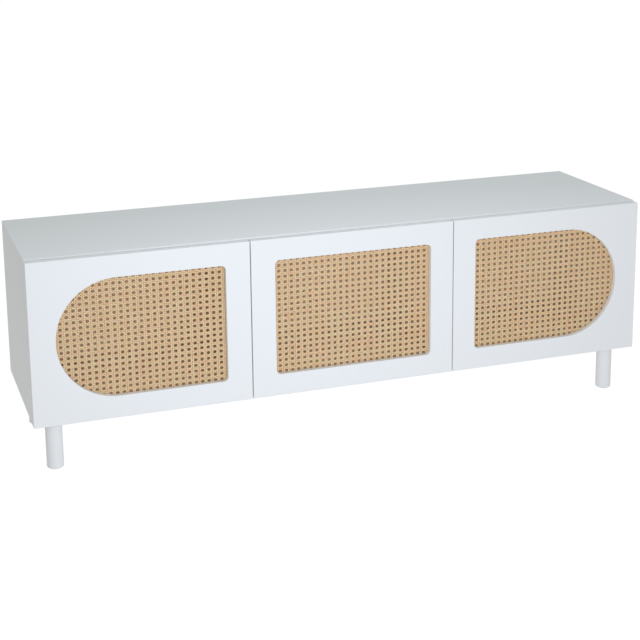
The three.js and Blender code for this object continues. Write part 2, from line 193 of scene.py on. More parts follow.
def place(tree, kind, inputs=(), out=0, **settings):
    """Adds a node with its settings, feeds its inputs with values or sockets, and gives one output."""
    node = tree.nodes.new(kind)
    for key, value in settings.items():
        setattr(node, key, value)
    for key, value in dict(inputs).items():
        if isinstance(value, bpy.types.NodeSocket):
            tree.links.new(value, node.inputs[key])
        else:
            node.inputs[key].default_value = value
    return node.outputs[out]


def maths(tree, operation, *values):
    return place(tree, "ShaderNodeMath", dict(enumerate(values)), operation=operation)


def parts_of(tree, vector):
    node = tree.nodes.new("ShaderNodeSeparateXYZ")
    tree.links.new(vector, node.inputs[0])
    return node.outputs


def vector_of(tree, x=0.0, y=0.0, z=0.0):
    return place(tree, "ShaderNodeCombineXYZ", {"X": x, "Y": y, "Z": z})


def group_tree(name, kind, inputs, outputs):
    """A node group with the given sockets: {label: (socket kind, default)} and {label: socket kind}."""
    tree = bpy.data.node_groups.new(name, kind)
    for label, (socket_kind, default) in inputs.items():
        socket = tree.interface.new_socket(label, in_out="INPUT", socket_type=socket_kind)
        if default is not None:
            socket.default_value = default
    for label, socket_kind in outputs.items():
        tree.interface.new_socket(label, in_out="OUTPUT", socket_type=socket_kind)
    return tree, tree.nodes.new("NodeGroupInput").outputs, tree.nodes.new("NodeGroupOutput").inputs


FLOAT, INTEGER, VECTOR = "NodeSocketFloat", "NodeSocketInt", "NodeSocketVector"
GEOMETRY, MATERIAL = "NodeSocketGeometry", "NodeSocketMaterial"


# Shared finish effects

def rubbed_edges_group():
    """Where a finish is thinner along the outside edges: a mask of 0 to 1."""
    tree, given, result = group_tree(
        "rubbed_edges", "ShaderNodeTree",
        {"Reach": (FLOAT, 0.0015), "Patchiness": (FLOAT, 60.0)}, {"Mask": FLOAT})
    inside = place(tree, "ShaderNodeAmbientOcclusion", {"Distance": given["Reach"]}, out="AO",
                   samples=4, inside=True)
    rim = place(tree, "ShaderNodeMapRange", {"Value": inside, "From Min": 0.75, "From Max": 0.35})
    where = place(tree, "ShaderNodeTexCoord", out="Object")
    patches = place(tree, "ShaderNodeTexNoise",
                    {"Vector": where, "Scale": given["Patchiness"], "Detail": 3.0})
    broken = place(tree, "ShaderNodeMapRange", {"Value": patches, "From Min": 0.35, "From Max": 0.65})
    tree.links.new(maths(tree, "MULTIPLY", rim, broken), result["Mask"])
    return tree


def fine_relief_group():
    """Small relief and slow drift of tone over a surface, from object coordinates."""
    tree, given, result = group_tree(
        "fine_relief", "ShaderNodeTree",
        {"Grain Scale": (FLOAT, 900.0), "Drift Scale": (FLOAT, 4.0), "Stretch": (VECTOR, (1.0, 1.0, 1.0))},
        {"Height": FLOAT, "Drift": FLOAT, "Speckle": FLOAT})
    where = place(tree, "ShaderNodeTexCoord", out="Object")
    stretched = place(tree, "ShaderNodeVectorMath", {0: where, 1: given["Stretch"]}, operation="MULTIPLY")
    grain = place(tree, "ShaderNodeTexNoise",
                  {"Vector": stretched, "Scale": given["Grain Scale"], "Detail": 2.0})
    speckle = place(tree, "ShaderNodeTexNoise",
                    {"Vector": where, "Scale": maths(tree, "MULTIPLY", given["Grain Scale"], 0.35)})
    drift = place(tree, "ShaderNodeTexNoise",
                  {"Vector": where, "Scale": given["Drift Scale"], "Detail": 3.0})
    tree.links.new(grain, result["Height"])
    tree.links.new(drift, result["Drift"])
    tree.links.new(speckle, result["Speckle"])
    return tree


RUBBED_EDGES = rubbed_edges_group()
FINE_RELIEF = fine_relief_group()


# Materials

def new_material(name):
    material = bpy.data.materials.new(name)
    material.use_nodes = True
    tree = material.node_tree
    return material, tree, tree.nodes["Principled BSDF"]


def effect(tree, group, values):
    node = tree.nodes.new("ShaderNodeGroup")
    node.node_tree = group
    for label, value in values.items():
        node.inputs[label].default_value = value
    return node.outputs


def between(tree, share, low, high):
    """A value that goes from low to high as the share goes from 0 to 1."""
    return place(tree, "ShaderNodeMapRange", {"Value": share, "To Min": low, "To Max": high})


def blend(tree, share, first, second):
    node = tree.nodes.new("ShaderNodeMix")
    node.data_type = "RGBA"
    for key, value in ((0, share), (6, first), (7, second)):
        if isinstance(value, bpy.types.NodeSocket):
            tree.links.new(value, node.inputs[key])
        else:
            node.inputs[key].default_value = value
    return node.outputs[2]


def relief(tree, shader, height, strength, distance):
    bump = place(tree, "ShaderNodeBump", {"Height": height, "Strength": strength, "Distance": distance})
    tree.links.new(bump, shader.inputs["Normal"])


def satin_lacquer(name, base, deep, grain_stretch=(1.0, 1.0, 1.0), relief_depth=0.00001):
    """White lacquer with a fine orange peel, thinner along the edges."""
    material, tree, shader = new_material(name)
    surface = effect(tree, FINE_RELIEF,
                     {"Grain Scale": 700.0, "Drift Scale": 3.0, "Stretch": grain_stretch})
    edges = effect(tree, RUBBED_EDGES, {"Reach": 0.0014, "Patchiness": 45.0})
    body = blend(tree, surface["Drift"], base, deep)
    worn = blend(tree, maths(tree, "MULTIPLY", edges["Mask"], LACQUER_WEAR), body, WORN_LACQUER)
    tree.links.new(worn, shader.inputs["Base Color"])
    tree.links.new(between(tree, surface["Speckle"], 0.40, 0.46), shader.inputs["Roughness"])
    shader.inputs["Specular IOR Level"].default_value = 0.45
    relief(tree, shader, surface["Height"], 0.2, relief_depth)
    return material


def faced_hardboard(name):
    """Thin board with a matt face in a warm white, and bare brown fibre where it is cut."""
    material, tree, shader = new_material(name)
    surface = effect(tree, FINE_RELIEF, {"Grain Scale": 420.0, "Drift Scale": 6.0})
    face = blend(tree, surface["Drift"], *BOARD_FACE)
    fibre = blend(tree, surface["Height"], *BOARD_FIBRE)
    facing = parts_of(tree, place(tree, "ShaderNodeTexCoord", out="Normal"))
    is_cut = maths(tree, "LESS_THAN", maths(tree, "ABSOLUTE", facing["Y"]), CUT_FACING)
    tree.links.new(blend(tree, is_cut, face, fibre), shader.inputs["Base Color"])
    tree.links.new(between(tree, surface["Speckle"], 0.55, 0.8), shader.inputs["Roughness"])
    relief(tree, shader, surface["Height"], 0.5, 0.00006)
    return material


def plated_steel(name, bright, dull, roughness, brushed):
    """Pressed steel with thin plating: drawing lines, cloudy gloss and rubbed edges."""
    material, tree, shader = new_material(name)
    surface = effect(tree, FINE_RELIEF, {"Grain Scale": 900.0, "Drift Scale": 60.0, "Stretch": brushed})
    edges = effect(tree, RUBBED_EDGES, {"Reach": 0.0006, "Patchiness": 300.0})
    body = blend(tree, surface["Drift"], bright, dull)
    rubbed = blend(tree, maths(tree, "MULTIPLY", edges["Mask"], METAL_WEAR), body, RUBBED_METAL)
    tree.links.new(rubbed, shader.inputs["Base Color"])
    shader.inputs["Metallic"].default_value = 1.0
    low, high = roughness
    tree.links.new(between(tree, surface["Height"], low, high), shader.inputs["Roughness"])
    relief(tree, shader, surface["Height"], 0.25, 0.00002)
    return material


def moulded_plastic(name, light, dark, roughness, see_through=0.0):
    """Moulded plastic with a spark-eroded skin."""
    material, tree, shader = new_material(name)
    surface = effect(tree, FINE_RELIEF, {"Grain Scale": 1600.0, "Drift Scale": 40.0})
    tree.links.new(blend(tree, surface["Drift"], light, dark), shader.inputs["Base Color"])
    low, high = roughness
    tree.links.new(between(tree, surface["Speckle"], low, high), shader.inputs["Roughness"])
    shader.inputs["Transmission Weight"].default_value = see_through
    relief(tree, shader, surface["Height"], 0.3, 0.00003)
    return material


def woven_cane(name):
    """Split cane: each strand has its own tone, with growth marks and fibre lines along it. The slanting
    strands are kept to lighter tones as a painted highlight, and the uprights and levels to darker ones as
    painted shade.
    """
    material, tree, shader = new_material(name)
    tone = place(tree, "ShaderNodeAttribute", out="Fac", attribute_name="strand_tone")
    run = place(tree, "ShaderNodeAttribute", out="Fac", attribute_name="strand_run")
    where = place(tree, "ShaderNodeTexCoord", out="Object")
    track = vector_of(tree, run, maths(tree, "MULTIPLY", tone, TONE_TRACK))
    growth = place(tree, "ShaderNodeTexNoise", {"Vector": track, "Scale": 22.0, "Detail": 3.0})
    fibres = place(tree, "ShaderNodeTexNoise", {"Vector": where, "Scale": 1500.0, "Detail": 3.0})
    patches = place(tree, "ShaderNodeTexNoise", {"Vector": where, "Scale": 9.0, "Detail": 2.0})
    ramp = tree.nodes.new("ShaderNodeValToRGB")
    while len(ramp.color_ramp.elements) < len(CANE_TONES):
        ramp.color_ramp.elements.new(0.5)
    for element, (position, colour) in zip(ramp.color_ramp.elements, CANE_TONES):
        element.position = position
        element.color = colour
    mixed = maths(tree, "ADD", maths(tree, "MULTIPLY", tone, TONE_SHARE),
                  maths(tree, "MULTIPLY", growth, 1.0 - TONE_SHARE))
    tree.links.new(mixed, ramp.inputs[0])
    marked = blend(tree, between(tree, fibres, -0.15, 0.35), ramp.outputs[0], CANE_FIBRE)
    aged = blend(tree, between(tree, patches, -0.15, 0.25), marked, AGED_CANE)
    tree.links.new(aged, shader.inputs["Base Color"])
    tree.links.new(between(tree, growth, 0.34, 0.52), shader.inputs["Roughness"])
    shader.inputs["Subsurface Weight"].default_value = 0.6
    shader.inputs["Subsurface Radius"].default_value = (1.0, 0.6, 0.35)
    shader.inputs["Subsurface Scale"].default_value = 0.0006
    relief(tree, shader, fibres, 0.4, 0.00006)
    return material


LACQUER = satin_lacquer("white_satin_lacquer", (0.838, 0.831, 0.816, 1.0), (0.830, 0.823, 0.808, 1.0))
LEG_LACQUER = satin_lacquer("leg_lacquer", (0.838, 0.831, 0.816, 1.0), (0.816, 0.809, 0.794, 1.0),
                            grain_stretch=(1.0, 1.0, 0.12), relief_depth=0.00002)
HARDBOARD = faced_hardboard("white_faced_hardboard")
NICKEL = plated_steel("nickel_plate", (0.74, 0.73, 0.71, 1.0), (0.62, 0.61, 0.60, 1.0), (0.16, 0.34),
                      brushed=(1.0, 1.0, 0.08))
ZINC = plated_steel("zinc_plate", (0.66, 0.67, 0.69, 1.0), (0.50, 0.52, 0.54, 1.0), (0.32, 0.58),
                    brushed=(1.0, 1.0, 1.0))
PLASTIC = moulded_plastic("white_moulded_plastic", (0.78, 0.78, 0.77, 1.0), (0.70, 0.70, 0.69, 1.0),
                          (0.38, 0.52))
SILICONE = moulded_plastic("clear_bumper", (0.86, 0.87, 0.86, 1.0), (0.78, 0.79, 0.78, 1.0), (0.18, 0.30),
                           see_through=0.6)
CANE = woven_cane("split_cane")


# Mesh helpers

def new_piece(name, mesh):
    piece = bpy.data.objects.new(name, mesh)
    bpy.context.scene.collection.objects.link(piece)
    return piece


def from_bmesh(name, form):
    bmesh.ops.recalc_face_normals(form, faces=form.faces)
    mesh = bpy.data.meshes.new(name)
    form.to_mesh(mesh)
    form.free()
    return new_piece(name, mesh)


def settled(piece):
    """Applies a piece's modifiers: what they make becomes its own mesh."""
    graph = bpy.context.evaluated_depsgraph_get()
    mesh = bpy.data.meshes.new_from_object(piece.evaluated_get(graph))
    piece.modifiers.clear()
    piece.data = mesh
    mesh.name = piece.name
    return piece


def block(name, low, high):
    """A box between two corners."""
    form = bmesh.new()
    bmesh.ops.create_cube(form, size=1.0)
    low, high = Vector(low), Vector(high)
    size = high - low
    bmesh.ops.transform(form, matrix=Matrix.Translation((low + high) / 2) @ Matrix.Diagonal((*size, 1.0)),
                        verts=form.verts)
    return from_bmesh(name, form)


def upright(name, outline, front, back):
    """An outline of (x, z) points given its thickness along Y."""
    form = bmesh.new()
    near = [form.verts.new((x, front, z)) for x, z in outline]
    far = [form.verts.new((x, back, z)) for x, z in outline]
    form.faces.new(near)
    form.faces.new(reversed(far))
    for index, vertex in enumerate(near):
        after = (index + 1) % len(near)
        form.faces.new((vertex, far[index], far[after], near[after]))
    return from_bmesh(name, form)


def turned(name, profile, centre, axis, sides):
    """A closed profile of (radius, rise) points turned about an axis through the centre."""
    form = bmesh.new()
    turn = Vector((0, 0, 1)).rotation_difference(Vector(axis)).to_matrix().to_4x4()
    rings = []
    for radius, rise in profile:
        if radius == 0:
            rings.append([form.verts.new((0, 0, rise))])
            continue
        angles = [2 * math.pi * side / sides for side in range(sides)]
        rings.append([form.verts.new((radius * math.cos(a), radius * math.sin(a), rise)) for a in angles])
    for lower, upper in zip(rings, rings[1:]):
        for side in range(sides):
            after = (side + 1) % sides
            corners = [lower[side % len(lower)], lower[after % len(lower)],
                       upper[after % len(upper)], upper[side % len(upper)]]
            form.faces.new(list(dict.fromkeys(corners)))
    bmesh.ops.transform(form, matrix=Matrix.Translation(centre) @ turn, verts=form.verts)
    return from_bmesh(name, form)


def combined(piece, other, operation):
    """Cuts or joins with another solid, which is used up."""
    modifier = piece.modifiers.new("combine", "BOOLEAN")
    modifier.operation = operation
    modifier.solver = "EXACT"
    modifier.object = other
    settled(piece)
    bpy.data.objects.remove(other)
    return piece


def eased(piece, radius, segments=ROUND_SEGMENTS):
    """Rounds the sharp edges and keeps the flats flat."""
    bevel = piece.modifiers.new("ease", "BEVEL")
    bevel.width = radius
    bevel.segments = segments
    bevel.limit_method = "ANGLE"
    bevel.angle_limit = SHARP_ANGLE
    bevel.harden_normals = True
    piece.data.shade_smooth()
    return settled(piece)


def smooth(piece, angle=SHARP_ANGLE):
    piece.data.shade_smooth()
    piece.data.set_sharp_from_angle(angle=angle)
    return piece


def refined(node, edge=REFINED_EDGE):
    """A merged copy of a CAD node, with flat faces made whole and its sharp edges eased."""
    form = bmesh.new()
    form.from_mesh(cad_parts[node].data)
    bmesh.ops.remove_doubles(form, verts=form.verts, dist=MERGE_DISTANCE)
    bmesh.ops.dissolve_limit(form, angle_limit=FLAT_ANGLE, verts=form.verts, edges=form.edges)
    piece = from_bmesh(f"{node}_finished", form)
    return eased(piece, edge, REFINED_SEGMENTS) if edge else smooth(piece)


def dressed(piece, material, slot, body, *nodes):
    """Gives a piece its material and its body, and hides the CAD nodes that it stands for. The slot is not
    used.
    """
    piece.data.materials.clear()
    piece.data.materials.append(material)
    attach(piece, body)
    if nodes:
        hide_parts(*nodes)
    return piece


def quarter(centre_x, centre_z, radius, start):
    """Points of a quarter circle, from the start angle on."""
    count = max(2, round(math.pi / 2 / ARC_STEP))
    angles = [start + step / count * math.pi / 2 for step in range(count + 1)]
    return [(centre_x + radius * math.cos(a), centre_z + radius * math.sin(a)) for a in angles]


def rounded_outline(low_x, high_x, low_z, high_z, left_radius, right_radius):
    """A rectangle with rounded corners, from its lower right corner on. Ends may be half circles."""
    points = (quarter(high_x - right_radius, low_z + right_radius, right_radius, -math.pi / 2)
              + quarter(high_x - right_radius, high_z - right_radius, right_radius, 0)
              + quarter(low_x + left_radius, high_z - left_radius, left_radius, math.pi / 2)
              + quarter(low_x + left_radius, low_z + left_radius, left_radius, math.pi))
    return [p for p, q in zip(points, points[1:] + points[:1]) if math.dist(p, q) > SAME_POINT]


# Geometry Nodes: split cane, and heads of fittings

def run_tree(piece, tree, values):
    """Runs a tree on a piece with the given inputs, and keeps the result as a plain mesh."""
    modifier = piece.modifiers.new("make", "NODES")
    modifier.node_group = tree
    sockets = {s.name: s.identifier for s in tree.interface.items_tree if s.in_out == "INPUT"}
    for label, value in values.items():
        modifier[sockets[label]] = value
    return settled(piece)


def strand_family(tree, given, start, step, count, reach, periods, sway, width, salt, tones):
    """Parallel strands of cane: a row of lines, bent over and under, cut at the outline, made solid."""
    row = place(tree, "GeometryNodeMeshLine", {"Count": count, "Start Location": start, "Offset": step})
    samples = maths(tree, "ADD", maths(tree, "MULTIPLY", periods, 2.0 * SAMPLES_PER_MESH), 1.0)
    back_reach = place(tree, "ShaderNodeVectorMath", {0: reach, "Scale": -1.0}, operation="SCALE")
    line = place(tree, "GeometryNodeCurvePrimitiveLine", {"Start": back_reach, "End": reach})
    line = place(tree, "GeometryNodeResampleCurve", {"Curve": line, "Count": samples})
    strands = place(tree, "GeometryNodeInstanceOnPoints", {"Points": row, "Instance": line})
    strands = place(tree, "GeometryNodeRealizeInstances", {"Geometry": strands})

    def per_strand(low, high, extra):
        index = place(tree, "GeometryNodeInputIndex")
        pick = place(tree, "FunctionNodeRandomValue", {
            2: low, 3: high, "ID": index, "Seed": maths(tree, "ADD", given["Seed"], salt + extra)}, out=1)
        return place(tree, "GeometryNodeFieldOnDomain", {0: pick}, domain="CURVE")

    strands = place(tree, "GeometryNodeSetPosition",
                    {"Geometry": strands, "Offset": vector_of(tree, 0.0, sway, 0.0)})
    # strand_tone: a random tone within the family's range, the slants' range lighter as painted highlight and
    # the others' darker as painted shade
    strands = place(tree, "GeometryNodeStoreNamedAttribute", {
        "Geometry": strands, "Name": "strand_tone", "Value": per_strand(*tones, 0)}, domain="POINT")
    strands = place(tree, "GeometryNodeStoreNamedAttribute", {
        "Geometry": strands, "Name": "strand_run",
        "Value": place(tree, "GeometryNodeSplineParameter", out="Length")}, domain="POINT")
    strands = place(tree, "GeometryNodeDeleteGeometry", {
        "Geometry": strands, "Selection": outside_rebate(tree, given)}, domain="POINT")
    points = place(tree, "GeometryNodeSplineLength", out="Point Count")
    stub = maths(tree, "LESS_THAN", points, FEWEST_POINTS)
    strands = place(tree, "GeometryNodeDeleteGeometry",
                    {"Geometry": strands, "Selection": stub}, domain="CURVE")
    strands = place(tree, "GeometryNodeSetCurveRadius",
                    {"Curve": strands, "Radius": per_strand(*WIDTH_RANGE, 50)})
    strands = place(tree, "GeometryNodeSetCurveNormal",
                    {"Curve": strands, "Normal": (0.0, -1.0, 0.0)}, mode="FREE")
    section = place(tree, "GeometryNodeCurvePrimitiveQuadrilateral", {
        "Height": given["Strand Thickness"], "Bottom Width": width,
        "Top Width": maths(tree, "MULTIPLY", width, CROWN_SHARE), "Offset": 0.0}, mode="TRAPEZOID")
    section = place(tree, "GeometryNodeTransform",
                    {"Geometry": section, "Rotation": (0.0, 0.0, -math.pi / 2)})
    return place(tree, "GeometryNodeCurveToMesh",
                 {"Curve": strands, "Profile Curve": section, "Fill Caps": True})


def outside_rebate(tree, given):
    """True outside a rounded rectangle whose hinge end has its own radius."""
    x, _, z = parts_of(tree, place(tree, "GeometryNodeInputPosition"))
    toward_hinge = maths(tree, "LESS_THAN", maths(tree, "MULTIPLY", x, given["Side"]), 0.0)
    radius = place(tree, "ShaderNodeMix", {0: toward_hinge, 2: given["Free End Radius"],
                                          3: given["Hinge End Radius"]})
    beyond_x = maths(tree, "SUBTRACT", maths(tree, "ABSOLUTE", x),
                     maths(tree, "SUBTRACT", given["Half Width"], radius))
    beyond_z = maths(tree, "SUBTRACT", maths(tree, "ABSOLUTE", z),
                     maths(tree, "SUBTRACT", given["Half Height"], radius))
    out_x = maths(tree, "MAXIMUM", beyond_x, 0.0)
    out_z = maths(tree, "MAXIMUM", beyond_z, 0.0)
    far = maths(tree, "SQRT", maths(tree, "ADD", maths(tree, "MULTIPLY", out_x, out_x),
                                    maths(tree, "MULTIPLY", out_z, out_z)))
    near = maths(tree, "MINIMUM", maths(tree, "MAXIMUM", beyond_x, beyond_z), 0.0)
    return maths(tree, "GREATER_THAN", maths(tree, "ADD", far, near), radius)


def cane_weave_tree():
    """Cane webbing: uprights and levels in pairs, with two sets of slanting strands woven through."""
    sizes = {"Half Width": 0.2, "Half Height": 0.14, "Hinge End Radius": 0.14, "Free End Radius": 0.018,
             "Side": 1.0, "Mesh Width": CANE_MESH_WIDTH, "Mesh Height": CANE_MESH_HEIGHT,
             "Upright Width": UPRIGHT_WIDTH, "Upright Spacing": UPRIGHT_SPACING,
             "Level Width": LEVEL_WIDTH, "Level Spacing": LEVEL_SPACING, "Slant Width": SLANT_WIDTH,
             "Strand Thickness": STRAND_THICKNESS, "Pair Sway": PAIR_SWAY, "Slant Sway": SLANT_SWAY,
             "Wander": MESH_WANDER}
    tree, given, result = group_tree(
        "cane_weave", "GeometryNodeTree",
        {"Geometry": (GEOMETRY, None), **{label: (FLOAT, size) for label, size in sizes.items()},
         "Centre": (VECTOR, (0.0, 0.0, 0.0)), "Seed": (INTEGER, 1), "Cane": (MATERIAL, None)},
        {"Geometry": GEOMETRY})

    def whole(length, period):
        return maths(tree, "ADD", maths(tree, "FLOOR", maths(tree, "DIVIDE", length, period)), 1.0)

    def first(count, period):
        shift = maths(tree, "SUBTRACT", 0.5, maths(tree, "MULTIPLY", count, 0.5))
        return maths(tree, "MULTIPLY", shift, period)

    def wave(form, coordinate, period, size):
        turn = maths(tree, "DIVIDE", maths(tree, "MULTIPLY", coordinate, 2 * math.pi), period)
        return maths(tree, "MULTIPLY", maths(tree, form, turn), size)

    def times(value, factor):
        return maths(tree, "MULTIPLY", value, factor)

    x, _, z = parts_of(tree, place(tree, "GeometryNodeInputPosition"))
    wide, high = given["Mesh Width"], given["Mesh Height"]
    columns, rows = whole(given["Half Width"], wide), whole(given["Half Height"], high)
    upright_count, level_count = times(columns, 2.0), times(rows, 2.0)
    slant_count = times(maths(tree, "ADD", columns, rows), 2.0)
    families = []
    for index, sign in enumerate((-1.0, 1.0)):
        families.append(strand_family(
            tree, given,
            start=vector_of(tree, maths(tree, "ADD", first(upright_count, wide),
                                        times(given["Upright Spacing"], sign / STRANDS_PER_PAIR))),
            step=vector_of(tree, wide), count=upright_count,
            reach=vector_of(tree, 0.0, 0.0, maths(tree, "MULTIPLY", rows, high)), periods=rows,
            sway=wave("SINE", z, high, times(given["Pair Sway"], -sign)),
            width=given["Upright Width"], salt=100 + index, tones=GROUND_TONES_AND_PAINTED_SHADE))
        families.append(strand_family(
            tree, given,
            start=vector_of(tree, 0.0, 0.0, maths(tree, "ADD", first(level_count, high),
                                                  times(given["Level Spacing"], sign / STRANDS_PER_PAIR))),
            step=vector_of(tree, 0.0, 0.0, high), count=level_count,
            reach=vector_of(tree, maths(tree, "MULTIPLY", columns, wide)), periods=columns,
            sway=wave("SINE", x, wide, times(given["Pair Sway"], sign)),
            width=given["Level Width"], salt=200 + index, tones=GROUND_TONES_AND_PAINTED_SHADE))
        families.append(strand_family(
            tree, given,
            start=vector_of(tree, first(slant_count, wide)),
            step=vector_of(tree, wide), count=slant_count,
            reach=vector_of(tree, maths(tree, "MULTIPLY", rows, wide), 0.0,
                            times(maths(tree, "MULTIPLY", rows, high), sign)), periods=rows,
            sway=wave("COSINE", x, wide, times(given["Slant Sway"], -sign)),
            width=given["Slant Width"], salt=300 + index, tones=SLANT_TONES_AND_PAINTED_HIGHLIGHT))
    joined = tree.nodes.new("GeometryNodeJoinGeometry")
    for family in families:
        tree.links.new(family, joined.inputs[0])
    here = place(tree, "GeometryNodeInputPosition")
    noise = place(tree, "ShaderNodeTexNoise", {"Vector": here, "Scale": WANDER_SCALE, "Detail": 1.0},
                  out="Color")
    drift = place(tree, "ShaderNodeVectorMath", {0: noise, 1: (0.5, 0.5, 0.5)}, operation="SUBTRACT")
    in_plane = place(tree, "ShaderNodeVectorMath", {0: drift, 1: (2.0, 0.0, 2.0)}, operation="MULTIPLY")
    wander = place(tree, "ShaderNodeVectorMath", {0: in_plane, "Scale": given["Wander"]}, operation="SCALE")
    woven = place(tree, "GeometryNodeSetPosition", {"Geometry": joined.outputs[0], "Offset": wander})
    woven = place(tree, "GeometryNodeTransform", {"Geometry": woven, "Translation": given["Centre"]})
    woven = place(tree, "GeometryNodeSetShadeSmooth", {"Geometry": woven, "Shade Smooth": True})
    woven = place(tree, "GeometryNodeRealizeInstances", {"Geometry": woven})
    woven = place(tree, "GeometryNodeSetMaterial", {"Geometry": woven, "Material": given["Cane"]})
    tree.links.new(woven, result["Geometry"])
    return tree


def fitting_heads_tree(name, has_recess):
    """Round heads on points, each turned to face the way stored there, with or without a cross recess."""
    inputs = {"Points": (GEOMETRY, None), "Radius": (FLOAT, 0.003), "Height": (FLOAT, 0.001),
              "Crown Share": (FLOAT, 0.72), "Seed": (INTEGER, 3), "Finish": (MATERIAL, None)}
    if has_recess:
        inputs |= {"Recess Length": (FLOAT, 0.003), "Recess Width": (FLOAT, 0.0006),
                   "Recess Depth": (FLOAT, 0.0006)}
    tree, given, result = group_tree(name, "GeometryNodeTree", inputs, {"Geometry": GEOMETRY})
    crown_radius = maths(tree, "MULTIPLY", given["Radius"], given["Crown Share"])
    head = place(tree, "GeometryNodeMeshCone", {
        "Vertices": HEAD_SIDES, "Radius Top": crown_radius, "Radius Bottom": given["Radius"],
        "Depth": given["Height"]})
    if has_recess:
        floor_rise = maths(tree, "SUBTRACT", given["Height"], given["Recess Depth"])
        slot_rise = maths(tree, "ADD", maths(tree, "MULTIPLY", given["Recess Depth"], 0.5), floor_rise)
        slots = tree.nodes.new("GeometryNodeJoinGeometry")
        for along, across in (("Recess Length", "Recess Width"), ("Recess Width", "Recess Length")):
            slot = place(tree, "GeometryNodeMeshCube", {
                "Size": vector_of(tree, given[along], given[across], given["Recess Depth"])})
            slot = place(tree, "GeometryNodeTransform", {
                "Geometry": slot,
                "Translation": vector_of(tree, 0.0, 0.0, maths(tree, "ADD", slot_rise, RECESS_OVERRUN))})
            tree.links.new(slot, slots.inputs[0])
        cut = tree.nodes.new("GeometryNodeMeshBoolean")
        cut.operation = "DIFFERENCE"
        cut.solver = "EXACT"
        cut.inputs["Self Intersection"].default_value = True
        tree.links.new(head, cut.inputs["Mesh 1"])
        tree.links.new(slots.outputs[0], cut.inputs["Mesh 2"])
        head = cut.outputs[0]
    facing = place(tree, "GeometryNodeInputNamedAttribute", {"Name": "facing"}, data_type="FLOAT_VECTOR")
    turn = place(tree, "FunctionNodeAlignRotationToVector", {"Vector": facing}, axis="Z")
    spin = place(tree, "FunctionNodeRandomValue", {2: 0.0, 3: 2 * math.pi, "Seed": given["Seed"]}, out=1)
    spin = place(tree, "FunctionNodeEulerToRotation", {"Euler": vector_of(tree, 0.0, 0.0, spin)})
    turn = place(tree, "FunctionNodeRotateRotation",
                 {"Rotation": turn, "Rotate By": spin}, rotation_space="LOCAL")
    heads = place(tree, "GeometryNodeInstanceOnPoints",
                  {"Points": given["Points"], "Instance": head, "Rotation": turn})
    heads = place(tree, "GeometryNodeRealizeInstances", {"Geometry": heads})
    heads = place(tree, "GeometryNodeSetMaterial", {"Geometry": heads, "Material": given["Finish"]})
    tree.links.new(heads, result["Geometry"])
    return tree


CANE_WEAVE = cane_weave_tree()
SCREW_HEADS = fitting_heads_tree("screw_heads", True)
PLAIN_HEADS = fitting_heads_tree("plain_heads", False)


def heads(name, tree, spots, values, material, slot, body):
    """Screw or pin heads at spots, each a pair of a point and the way the head faces."""
    mesh = bpy.data.meshes.new(name)
    mesh.from_pydata([point for point, _ in spots], [], [])
    facing = mesh.attributes.new("facing", "FLOAT_VECTOR", "POINT")
    for item, (_, way) in zip(facing.data, spots):
        item.vector = way
    piece = run_tree(new_piece(name, mesh), tree, {**values, "Finish": material})
    smooth(piece)
    return dressed(piece, material, slot, body)


# Carcass

def make_boards():
    for node in ("top_panel", "bottom_panel", "left_side_panel", "right_side_panel",
                 "left_partition", "right_partition"):
        dressed(refined(node), LACQUER, "white_lacquer", "carcass", node)
    dressed(refined("back_panel", edge=0), HARDBOARD, "backing_board", "carcass", "back_panel")


def leg_names():
    return [f"{end}_{side}" for side in ("left", "right") for end in ("front", "rear")]


def make_leg(name):
    low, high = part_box(f"{name}_leg")
    plate_low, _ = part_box(f"{name}_leg_plate")
    centre = Vector(((low.x + high.x) / 2, (low.y + high.y) / 2, 0.0))
    top = plate_low.z - REBATE_PLAY
    foot = quarter(LEG_RADIUS - LEG_FOOT_ROUND, GLIDE_HEIGHT + LEG_FOOT_ROUND, LEG_FOOT_ROUND, -math.pi / 2)
    crown = quarter(LEG_RADIUS - LEG_TOP_ROUND, top - LEG_TOP_ROUND, LEG_TOP_ROUND, 0)
    profile = [(0, GLIDE_HEIGHT), *foot, *crown, (STUD_RADIUS, top), (STUD_RADIUS, high.z), (0, high.z)]
    leg = smooth(turned(f"{name}_turned_leg", profile, centre, (0, 0, 1), LEG_SIDES))
    dressed(leg, LEG_LACQUER, "leg_lacquer", "carcass", f"{name}_leg")
    rim = GLIDE_HEIGHT / 3
    pad = [(0, 0), (GLIDE_RADIUS - rim, 0), (GLIDE_RADIUS, rim), (GLIDE_RADIUS, GLIDE_HEIGHT),
           (0, GLIDE_HEIGHT)]
    glide = smooth(turned(f"{name}_glide", pad, centre, (0, 0, 1), LEG_SIDES))
    dressed(glide, PLASTIC, "white_plastic", "carcass")
    dressed(refined(f"{name}_leg_plate"), ZINC, "zinc", "carcass", f"{name}_leg_plate")


# Doors

def door_point(name, across, depth, rise):
    """A point given from the door's hinge edge, from its face and from its lower edge."""
    low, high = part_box(f"{name}_door")
    side = DOORS[name]["side"]
    hinge_edge = low.x if side > 0 else high.x
    return Vector((hinge_edge + side * across, low.y + depth, low.z + rise))


def opening_outline(name, growth):
    """The outline of a door's opening, grown by the given amount."""
    low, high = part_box(f"{name}_cane_retainer")
    inset = REBATE_LIP - REBATE_PLAY - growth
    corner = OPENING_CORNER + growth
    end = (high.z - low.z) / 2 - inset if DOORS[name]["round_end"] else corner
    left, right = (end, corner) if DOORS[name]["side"] > 0 else (corner, end)
    return rounded_outline(low.x + inset, high.x - inset, low.z + inset, high.z - inset, left, right)


def hinge_heights(name):
    """The middle height of each of a door's hinges, with the hinge's name."""
    found = []
    for level in ("lower", "upper"):
        low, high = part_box(f"{name}_{level}_hinge_cup")
        found.append((level, (low.z + high.z) / 2))
    return found


